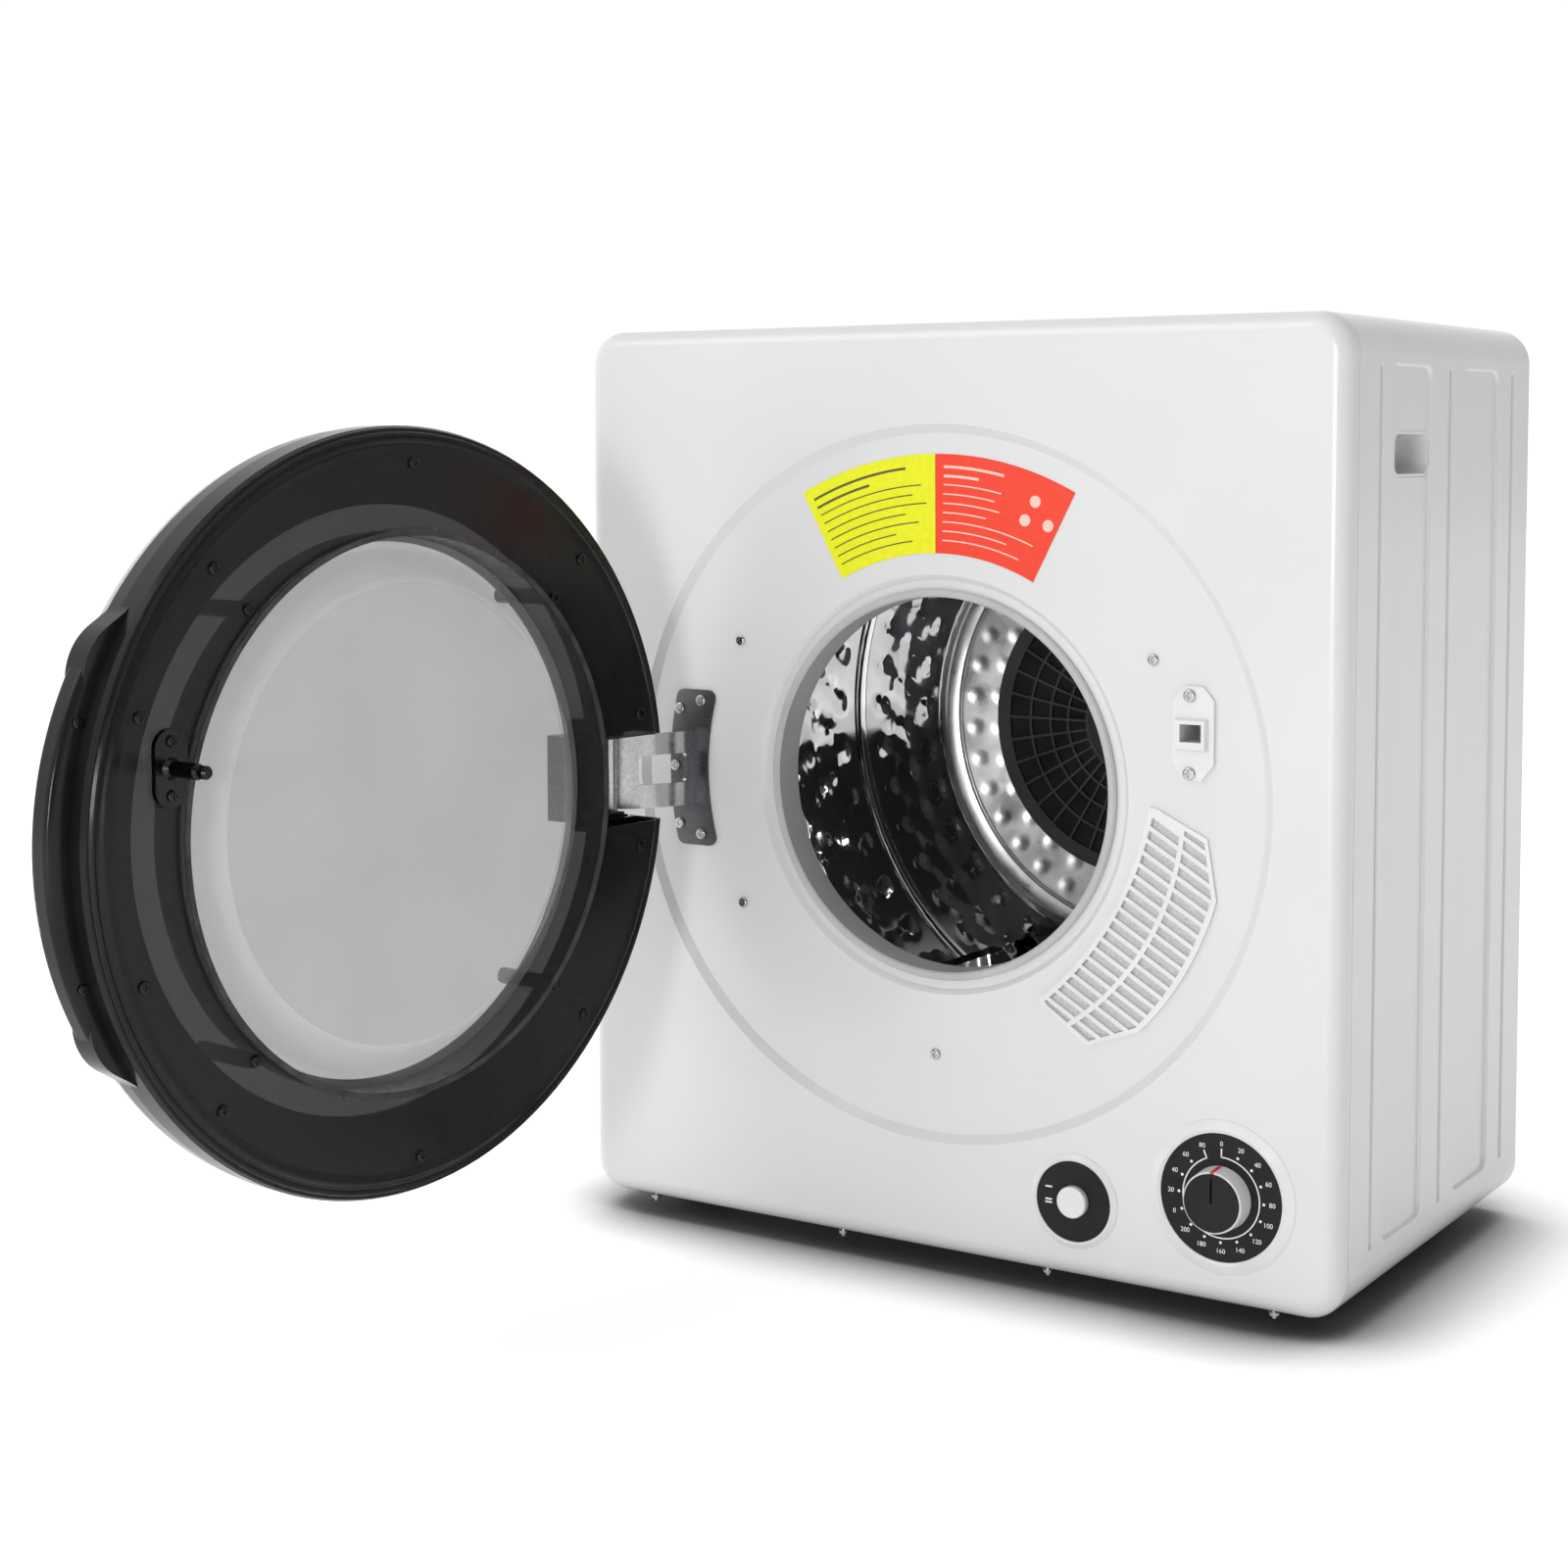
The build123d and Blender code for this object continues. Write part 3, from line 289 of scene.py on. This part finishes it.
CHROME = metal("screw_chrome", (0.48, 0.485, 0.49), 0.18, scale=700)
BLACK_SCREW = metal("screw_black", (0.035, 0.035, 0.037), 0.30, scale=700)
LATCH_METAL = metal("latch_black", (0.03, 0.03, 0.032), 0.28, scale=500)
BRONZE = metal("bearing_bronze", (0.50, 0.36, 0.18), 0.42)
MOTOR_PAINT = moulded("motor_paint", (0.07, 0.08, 0.09), 0.5)
YELLOW = print_ink("label_yellow", (0.76, 0.78, 0.0))
RED = print_ink("label_red", (0.82, 0.045, 0.015))
INK = print_ink("label_ink", (0.10, 0.09, 0.02))
PALE_INK = print_ink("label_pale_ink", (0.85, 0.55, 0.48))
DIAL_WHITE = print_ink("dial_print", (0.80, 0.80, 0.80))
# near-black material for the painted shade in the knob cap's pointer groove
CAP_GROOVE_SHADE = moulded("cap_groove_painted_shade", (0.002, 0.002, 0.002), 0.7, shine=0.05)
POINTER = print_ink("pointer_red", (0.70, 0.02, 0.02))

FINISH = {
    WHITE: ("front_panel", "cabinet_wrap"),
    WHITE_PLASTIC: ("side_grip_left", "side_grip_right", "control_bezels", "knob_skirt", "heat_button",
                    "latch_receiver", "intake_grille", "drum_glides"),
    GREY_PLASTIC: ("opening_collar",),
    REAR_GREY: ("rear_housing", "exhaust_collar"),
    DARK_PLASTIC: ("drum_filter_cover", "timer_body", "heat_switch", "door_switch", "power_inlet",
                   "idler_pulley", "fan_wheel"),
    DIAL_BLACK: ("control_faces", "knob_cap"),
    PIANO: ("door_frame", "door_handle"),
    LENS: ("door_lens",),
    RING: ("door_inner_ring",),
    WINDOW: ("door_window",),
    RUBBER: ("feet", "drum_belt", "fan_belt", "door_seal"),
    FELT: ("drum_seal", "rear_duct_seal", "intake_felt"),
    MIRROR: ("drum_shell", "drum_back", "drum_lifters"),
    ZINC: ("rear_panel", "base_pan", "front_bulkhead", "motor_bracket", "idler_bracket",
           "heater_housing", "bearing_housing", "idler_arm", "ptc_heater"),
    STEEL: ("motor_shaft", "motor_pulleys", "drum_spindle", "hinge_pin"),
    SATIN: ("hinge_arm",),
    GRAPHITE: ("hinge_plate",),
    CHROME: ("cabinet_screws", "rear_screws"),
    BLACK_SCREW: ("door_screws",),
    LATCH_METAL: ("door_latch", "door_hinge_bracket"),
    BRONZE: ("rear_bearing",),
    MOTOR_PAINT: ("motor_body",),
    YELLOW: ("care_label",),
}


def finish_cad():
    """Gives each node from the CAD its material."""
    for material, names in FINISH.items():
        for name in names:
            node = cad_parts[name]
            node.data.materials.clear()
            node.data.materials.append(material)


# ---- mesh helpers ----
def piece(name, verts, faces, material, body, round_off=True):
    """Object that moves with a body, smooth-shaded unless round_off is False."""
    mesh = bpy.data.meshes.new(name)
    mesh.from_pydata([tuple(v) for v in verts], [], faces)
    mesh.validate()
    mesh.materials.append(material)
    obj = bpy.data.objects.new(name, mesh)
    bpy.context.scene.collection.objects.link(obj)
    if round_off:
        for polygon in mesh.polygons:
            polygon.use_smooth = True
    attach(obj, body)
    return obj


def lathe(profile, place, turns=360, shape=None):
    """Turned closed surface: profile is (radius, height) points, place(x, height, z) gives the vertex."""
    verts, faces = [], []
    rows = len(profile)
    for i in range(turns):
        angle = math.tau * i / turns
        for j, (radius, height) in enumerate(profile):
            if shape:
                radius, height = shape(angle, j, radius, height)
            verts.append(place(radius * math.cos(angle), height, radius * math.sin(angle)))
    for i in range(turns):
        for j in range(rows):
            a, b = i * rows + j, i * rows + (j + 1) % rows
            c, d = ((i + 1) % turns) * rows + (j + 1) % rows, ((i + 1) % turns) * rows + j
            faces.append((a, b, c, d))
    return verts, faces


def drum_place(x, height, z):
    return at(x, height, DRUM_Z + z)


def dimple(angle, along, radius, layout):
    """Height, 0 to 1, of staggered pressed dimples."""
    pitch, rows, gap, reach_out = layout
    best = 0.0
    for row in (math.floor(along / pitch), math.floor(along / pitch) + 1):
        if not 0 <= row < rows:
            continue
        count = max(8, round(math.tau * radius / gap))
        shift = 0.5 * (row % 2)
        turn = angle / math.tau * count - shift
        across = (turn - round(turn)) * math.tau * radius / count
        reach = math.hypot(across, along - row * pitch)
        best = max(best, smooth(1 - reach / reach_out))
    return best


# ---- drum ----
def steps(low, high, count):
    return [low + (high - low) * i / count for i in range(count + 1)]


def drum_wall():
    """Cylinder wall with its pressed dimples and its front neck."""
    inner = [(DRUM_R, y) for y in steps(DRUM_FRONT_Y, DRUM_REAR_Y - 1, 92)]
    outer = [(222.0, DRUM_REAR_Y), (222.0, 49.0), (218.0, 49.0), (218.0, 32.0), (217.0, 32.0),
             (217.0, 50.5)]
    front = DRUM_FRONT_Y + 16

    def shape(angle, j, radius, y):
        if j >= len(inner):
            return radius, y
        fade = smooth((y - DRUM_FRONT_Y - 4) / 8) * smooth((DRUM_REAR_Y - 6 - y) / 8)
        press = dimple(angle, y - front, radius, WALL_DIMPLES)
        return radius - WALL_PRESS * press * fade, y

    verts, faces = lathe(inner + outer, drum_place, 720, shape)
    wall = piece("drum_wall", verts, faces, MIRROR, "drum")
    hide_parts("drum_shell")
    return wall


def drum_rear():
    """Rear plate: dimpled annulus, rolled bead, groove and the dimpled cone behind the filter cover."""
    r = DRUM_R
    first_row = r - 16
    cone_row = 129.0
    profile = [(r + 0.5, 276.2), (r + 0.5, 277.4), (r - 0.2, 279.8), (r - 1.0, 280.8), (r - 2.2, PLATE_Y)]
    plate_start = len(profile)
    profile += [(radius, PLATE_Y) for radius in steps(r - 3.5, BEAD_R, 44)]
    plate_end = len(profile)
    rise = PLATE_Y - CREST_Y
    profile += [(BEAD_R - (BEAD_R - CREST_R) * t, PLATE_Y - rise * smooth(t)) for t in steps(0.1, 1.0, 12)]
    profile += [(CREST_R - 8.6 * t, CREST_Y + 0.5 * t + 1.7 * t * t) for t in steps(0.1, 1.0, 10)]
    profile += [(139.7, 283.4), (138.8, 283.4), (138.7, 281.1)]
    cone_start = len(profile)
    profile += [(radius, PLATE_Y + CONE_DEEP * (CONE_R - radius) / (CONE_R - HUB_R))
                for radius in steps(CONE_R, HUB_R, 26)]
    cone_end = len(profile)
    profile += [(60.0, 287.9), (60.0, 288.9), (HUB_R, 288.9), (139.0, 282.9), (BEAD_R, 281.9),
                (r - 6.0, 281.9), (r, 277.2)]

    def shape(angle, j, radius, y):
        if plate_start <= j < plate_end:
            fade = smooth((r - 9 - radius) / 6) * smooth((radius - 160) / 5)
            along = first_row - radius
            ring = first_row - PLATE_DIMPLES[0] * round(along / PLATE_DIMPLES[0])
            return radius, y - PLATE_PRESS * fade * dimple(angle, along, ring, PLATE_DIMPLES)
        if cone_start <= j < cone_end:
            fade = smooth((138.0 - radius) / 4) * smooth((radius - 105.0) / 4)
            along = cone_row - radius
            ring = cone_row - CONE_DIMPLES[0] * round(along / CONE_DIMPLES[0])
            return radius, y + CONE_PRESS * fade * dimple(angle, along, ring, CONE_DIMPLES)
        return radius, y

    verts, faces = lathe(profile, drum_place, 720, shape)
    rear = piece("drum_rear_plate", verts, faces, MIRROR, "drum")
    rear.data.materials.append(SATIN_STEEL)
    rows = len(profile)
    for index, polygon in enumerate(rear.data.polygons):
        if plate_end + 3 <= index % rows < cone_end:
            polygon.material_index = 1
    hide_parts("drum_back")
    return rear


def lint_screen():
    """Fine woven screen behind the filter cover's grid."""
    profile = [(0.5, 267.2), (98.6, 267.2), (98.6, 268.0), (0.5, 268.0)]
    verts, faces = lathe(profile, drum_place, 120)
    return piece("lint_screen", verts, faces, SCREEN, "drum", False)


# ---- dial, button and label printing ----
def flat_mark(name, outline, y, material, body="cabinet", thick=0.12):
    """Thin raised print from a closed outline in X and Z."""
    count = len(outline)
    verts = [at(x, y, z) for x, z in outline] + [at(x, y - thick, z) for x, z in outline]
    faces = [tuple(range(count, 2 * count)), tuple(reversed(range(count)))]
    faces += [(i, (i + 1) % count, count + (i + 1) % count, count + i) for i in range(count)]
    return piece(name, verts, faces, material, body, round_off=False)


def arc_points(cx, cz, radius, deg0, deg1, count):
    return [(cx + radius * math.cos(math.radians(d)), cz + radius * math.sin(math.radians(d)))
            for d in steps(deg0, deg1, count)]


def band(cx, cz, r_in, r_out, deg0, deg1, count=24):
    return arc_points(cx, cz, r_out, deg0, deg1, count) + arc_points(cx, cz, r_in, deg1, deg0, count)


def join(name, parts):
    """Several meshes of one material as one object."""
    bpy.ops.object.select_all(action="DESELECT")
    for part in parts:
        part.select_set(True)
    bpy.context.view_layer.objects.active = parts[0]
    bpy.ops.object.join()
    parts[0].name = name
    return parts[0]


def number(text, x, z, size, y):
    """A printed number, standing upright on the face and centred at x, z."""
    curve = bpy.data.curves.new("number", "FONT")
    curve.body = text
    curve.size = size * MM
    curve.align_x = "CENTER"
    curve.align_y = "CENTER"
    curve.extrude = 0.05 * MM
    curve.resolution_u = 4
    holder = bpy.data.objects.new("number", curve)
    bpy.context.scene.collection.objects.link(holder)
    holder.matrix_world = Matrix.Translation(at(x, y, z)) @ Matrix.Rotation(math.pi / 2, 4, "X")
    bpy.context.view_layer.update()
    depsgraph = bpy.context.evaluated_depsgraph_get()
    mesh = bpy.data.meshes.new_from_object(holder.evaluated_get(depsgraph))
    mesh.transform(holder.matrix_world)
    bpy.data.objects.remove(holder)
    mesh.materials.clear()
    mesh.materials.append(DIAL_WHITE)
    obj = bpy.data.objects.new("number", mesh)
    bpy.context.scene.collection.objects.link(obj)
    return obj


def dial_print():
    """Scale of the timer: an arc with end ticks, dots and numbers."""
    x, z = DIAL
    labels = list(range(0, 201, 20)) + [0, 20, 40, 60, 80]
    ends = (90, 90 - DIAL_STEP_DEG * (len(labels) - 1))
    parts = [flat_mark("arc", band(x, z, ARC_R, ARC_R + 0.7, *ends, 72), PRINT_Y, DIAL_WHITE)]
    for degrees in ends:
        tick = band(x, z, ARC_R, TICK_R, degrees - 0.9, degrees + 0.9, 2)
        parts.append(flat_mark("tick", tick, PRINT_Y, DIAL_WHITE))
    for i, value in enumerate(labels):
        degrees = 90 - DIAL_STEP_DEG * i
        dx, dz = math.cos(math.radians(degrees)), math.sin(math.radians(degrees))
        if 0 < i < len(labels) - 1:
            dot = arc_points(x + DOT_R * dx, z + DOT_R * dz, 0.8, 0, 340, 17)
            parts.append(flat_mark("dot", dot, PRINT_Y, DIAL_WHITE))
        parts.append(number(str(value), x + NUMBER_R * dx, z + NUMBER_R * dz, NUMBER_SIZE, PRINT_Y - 0.05))
    marks = join("dial_print", parts)
    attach(marks, "cabinet")
    return marks


def latch_socket_back():
    """Dark bottom of the latch socket: a black sheet that paints the shade deep in the socket."""
    outline = [(154.3, 308.1), (165.7, 308.1), (165.7, 316.7), (154.3, 316.7)]
    # painted shade: black sheet at the socket's bottom
    return flat_mark("latch_socket_back", outline, 24.75, DIAL_BLACK)


def knob_details():
    """Red line over the skirt's edge, and a black line on the cap that paints the shade in its moulded
    pointer groove.
    """
    x, z = DIAL
    half = 1.0
    line = [(x - half, z + 15.2), (x + half, z + 15.2), (x + half, z + 17.2), (x - half, z + 17.2)]
    top = flat_mark("knob_pointer_top", line, -13.55, POINTER, "timer_knob", 0.25)
    tip = [at(x - half, -13.6, z + 17.0), at(x + half, -13.6, z + 17.0), at(x + half, -3.0, z + 17.75),
           at(x - half, -3.0, z + 17.75)]
    under = [v + Vector((0, 0, -0.6 * MM)) for v in tip]
    faces = [(0, 1, 2, 3), (7, 6, 5, 4), (0, 4, 5, 1), (1, 5, 6, 2), (2, 6, 7, 3), (3, 7, 4, 0)]
    piece("knob_pointer_side", tip + under, faces, POINTER, "timer_knob", False)
    # painted shade: black strip laid in the cap's pointer groove
    groove = [(x - 0.6, z), (x + 0.6, z), (x + 0.6, z + 13.6), (x - 0.6, z + 13.6)]
    flat_mark("knob_cap_groove_shade", groove, -14.8, CAP_GROOVE_SHADE, "timer_knob", 0.2)
    return top


def button_print():
    """Two plain level marks left of the button."""
    x, z = BUTTON
    parts = []
    for dz, bars in ((6.0, 1), (-3.0, 2)):
        for i in range(bars):
            left = x - 17.5
            low = z + dz + 1.8 * i
            box = [(left, low), (left + 4.2, low), (left + 4.2, low + 0.9), (left, low + 0.9)]
            parts.append(flat_mark("bar", box, PRINT_Y, DIAL_WHITE))
    marks = join("button_print", parts)
    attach(marks, "cabinet")
    return marks


def care_label():
    """Two-colour sticker with plain bars in place of writing."""
    y = FLOOR_Y - 0.16
    for name, start, end, color in (("label_left", 90.45, 118.5, YELLOW), ("label_right", 62.5, 90.4, RED)):
        outline = band(0, RING_Z, LABEL_IN, LABEL_OUT, start, end, 30)
        flat_mark(name, outline, y, color, thick=0.1)
    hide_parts("care_label")
    dark, pale = [], []
    lengths = (20, 12, 23, 21, 24, 19, 22, 16, 20)
    for row, length in enumerate(lengths):
        radius = LINE_R - LINE_PITCH * row
        thick = 1.5 if row < 2 else 0.75
        share = length / 24.0
        line = band(0, RING_Z, radius - thick, radius, 117 - 24.5 * share, 117, 18)
        dark.append(flat_mark("bar", line, y - 0.1, INK, thick=0.05))
        if row < 2:
            share *= 0.6
        reach = 13.0 if 1 < row < 6 else 24.5
        line = band(0, RING_Z, radius - thick, radius, 88.6 - reach * share, 88.6, 18)
        pale.append(flat_mark("bar", line, y - 0.1, PALE_INK, thick=0.05))
    for cx, cz in ((63.0, 436.5), (71.0, 423.0), (56.5, 426.0)):
        ring = arc_points(cx, cz, 3.4, 0, 345, 23)
        pale.append(flat_mark("bar", ring, y - 0.1, PALE_INK, thick=0.05))
    for name, parts in (("label_bars_left", dark), ("label_bars_right", pale)):
        bars = join(name, parts)
        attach(bars, "cabinet")


# ---- door ----
def screw_posts():
    """Moulded posts behind the ring's face, one for each screw, seen through the smoked plastic."""
    places = [(186.6, a) for a in (20.5, 46.5, 91.5, 135.5, 168)] + [(156.5, a) for a in (46.8, 135.2)]
    places += [(r, -a) for r, a in places]
    parts = []
    for radius, degrees in places:
        u, v = radius * math.cos(math.radians(degrees)), radius * math.sin(math.radians(degrees))
        deep = -14.9 if radius > 170 else -36.0
        profile = [(2.0, 4.6), (4.2, 4.6), (4.7, deep), (2.4, deep)]

        def place(x, height, z):
            return door_at(u + x, height, v + z)

        verts, faces = lathe(profile, place, 28)
        parts.append(piece("post", verts, faces, POST, "door"))
    posts = join("door_screw_posts", parts)
    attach(posts, "door")
    return posts


def window_face():
    """Thin sheet over the flat face of the window, a shade darker than its sloping rim: painted shade, so
    the rim looks lighter, as refraction makes it.
    """
    profile = [(0.1, 7.9), (122.6, 7.9), (123.4, 7.6), (0.1, 7.6)]
    verts, faces = lathe(profile, door_at, 180)
    # painted shade: near-clear grey sheet over the window's flat face
    film = piece("window_shade_sheet", verts, faces, WINDOW_SHADE_FILM, "door")
    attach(film, "door")
    return film


# ---- stage ----
CAMERA_SIDE = (0.50, -0.86, 0.10)
FLAG_DEG = (42, 26)


def stage():
    """Glowing white floor with a painted contact shadow, studio light, key lamp and a lamp that looks into
    the drum.
    """
    bpy.ops.mesh.primitive_plane_add(size=30)
    floor = bpy.context.active_object
    floor.name = "floor"
    s = Shader("floor_white", (0.93, 0.93, 0.93), 0.7)
    s.bsdf.inputs["Emission Color"].default_value = (1, 1, 1, 1)
    # painted contact shadow and glow: ambient occlusion darkens the floor's colour near the cabinet and
    # fades its glow there
    shade = s.tree.nodes.new("ShaderNodeAmbientOcclusion")
    shade.inputs["Distance"].default_value = 0.075
    s.tint(shade.outputs["AO"], (0.10, 0.10, 0.10), (0.93, 0.93, 0.93), 0.40, 0.95)
    s.link(s.ramp(shade.outputs["AO"], 0.45, 1.0, 0.0, 0.40), s.bsdf.inputs["Emission Strength"])
    floor.data.materials.append(s.material)
    studio_world()
    lamp("key", (-1.8, -2.8, 3.0), (0, 0, 0.3), 2.2, 30)
    lamp("opening", (0.55, -3.1, 0.62), (0.0, 0.1, 0.3), 0.55, 24)


def studio_world():
    """White studio, darker on the right for the cabinet's side and nearly black round the camera."""
    world = bpy.data.worlds.new("studio")
    bpy.context.scene.world = world
    world.use_nodes = True
    tree = world.node_tree
    tree.nodes["Background"].inputs["Color"].default_value = (1, 1, 1, 1)
    split = tree.nodes.new("ShaderNodeSeparateXYZ")
    places = tree.nodes.new("ShaderNodeTexCoord")
    shade = tree.nodes.new("ShaderNodeMapRange")
    shade.inputs["From Min"].default_value = -0.25
    shade.inputs["From Max"].default_value = 0.9
    shade.inputs["To Min"].default_value = 1.05
    shade.inputs["To Max"].default_value = 0.32
    tree.links.new(places.outputs["Generated"], split.inputs["Vector"])
    tree.links.new(split.outputs["X"], shade.inputs["Value"])
    toward = tree.nodes.new("ShaderNodeVectorMath")
    toward.operation = "DOT_PRODUCT"
    toward.inputs[1].default_value = CAMERA_SIDE
    flag = tree.nodes.new("ShaderNodeMapRange")
    flag.inputs["From Min"].default_value = math.cos(math.radians(FLAG_DEG[0]))
    flag.inputs["From Max"].default_value = math.cos(math.radians(FLAG_DEG[1]))
    flag.inputs["To Min"].default_value = 1.0
    flag.inputs["To Max"].default_value = 0.03
    strength = tree.nodes.new("ShaderNodeMath")
    strength.operation = "MULTIPLY"
    tree.links.new(places.outputs["Generated"], toward.inputs[0])
    tree.links.new(toward.outputs["Value"], flag.inputs["Value"])
    tree.links.new(shade.outputs["Result"], strength.inputs[0])
    tree.links.new(flag.outputs["Result"], strength.inputs[1])
    tree.links.new(strength.outputs["Value"], tree.nodes["Background"].inputs["Strength"])


def lamp(name, place, target, size, power):
    data = bpy.data.lights.new(name, "AREA")
    data.size = size
    data.energy = power
    obj = bpy.data.objects.new(name, data)
    bpy.context.scene.collection.objects.link(obj)
    obj.location = place
    obj.rotation_mode = "QUATERNION"
    obj.rotation_quaternion = (Vector(target) - Vector(place)).to_track_quat("-Z", "Y")


def camera():
    data = bpy.data.cameras.new("camera")
    data.lens = 59.98
    data.sensor_width = 36.0
    data.shift_y = -0.10
    obj = bpy.data.objects.new("camera", data)
    bpy.context.scene.collection.objects.link(obj)
    obj.location = at(742.4, -1296.7, 466.8)
    obj.rotation_euler = (math.radians(90 - 3.93), math.radians(0.09), math.radians(33.08))
    bpy.context.scene.camera = obj


finish_cad()
drum_wall()
drum_rear()
lint_screen()
dial_print()
knob_details()
button_print()
latch_socket_back()
care_label()
screw_posts()
window_face()
stage()
camera()
bpy.context.scene.view_settings.view_transform = "Standard"
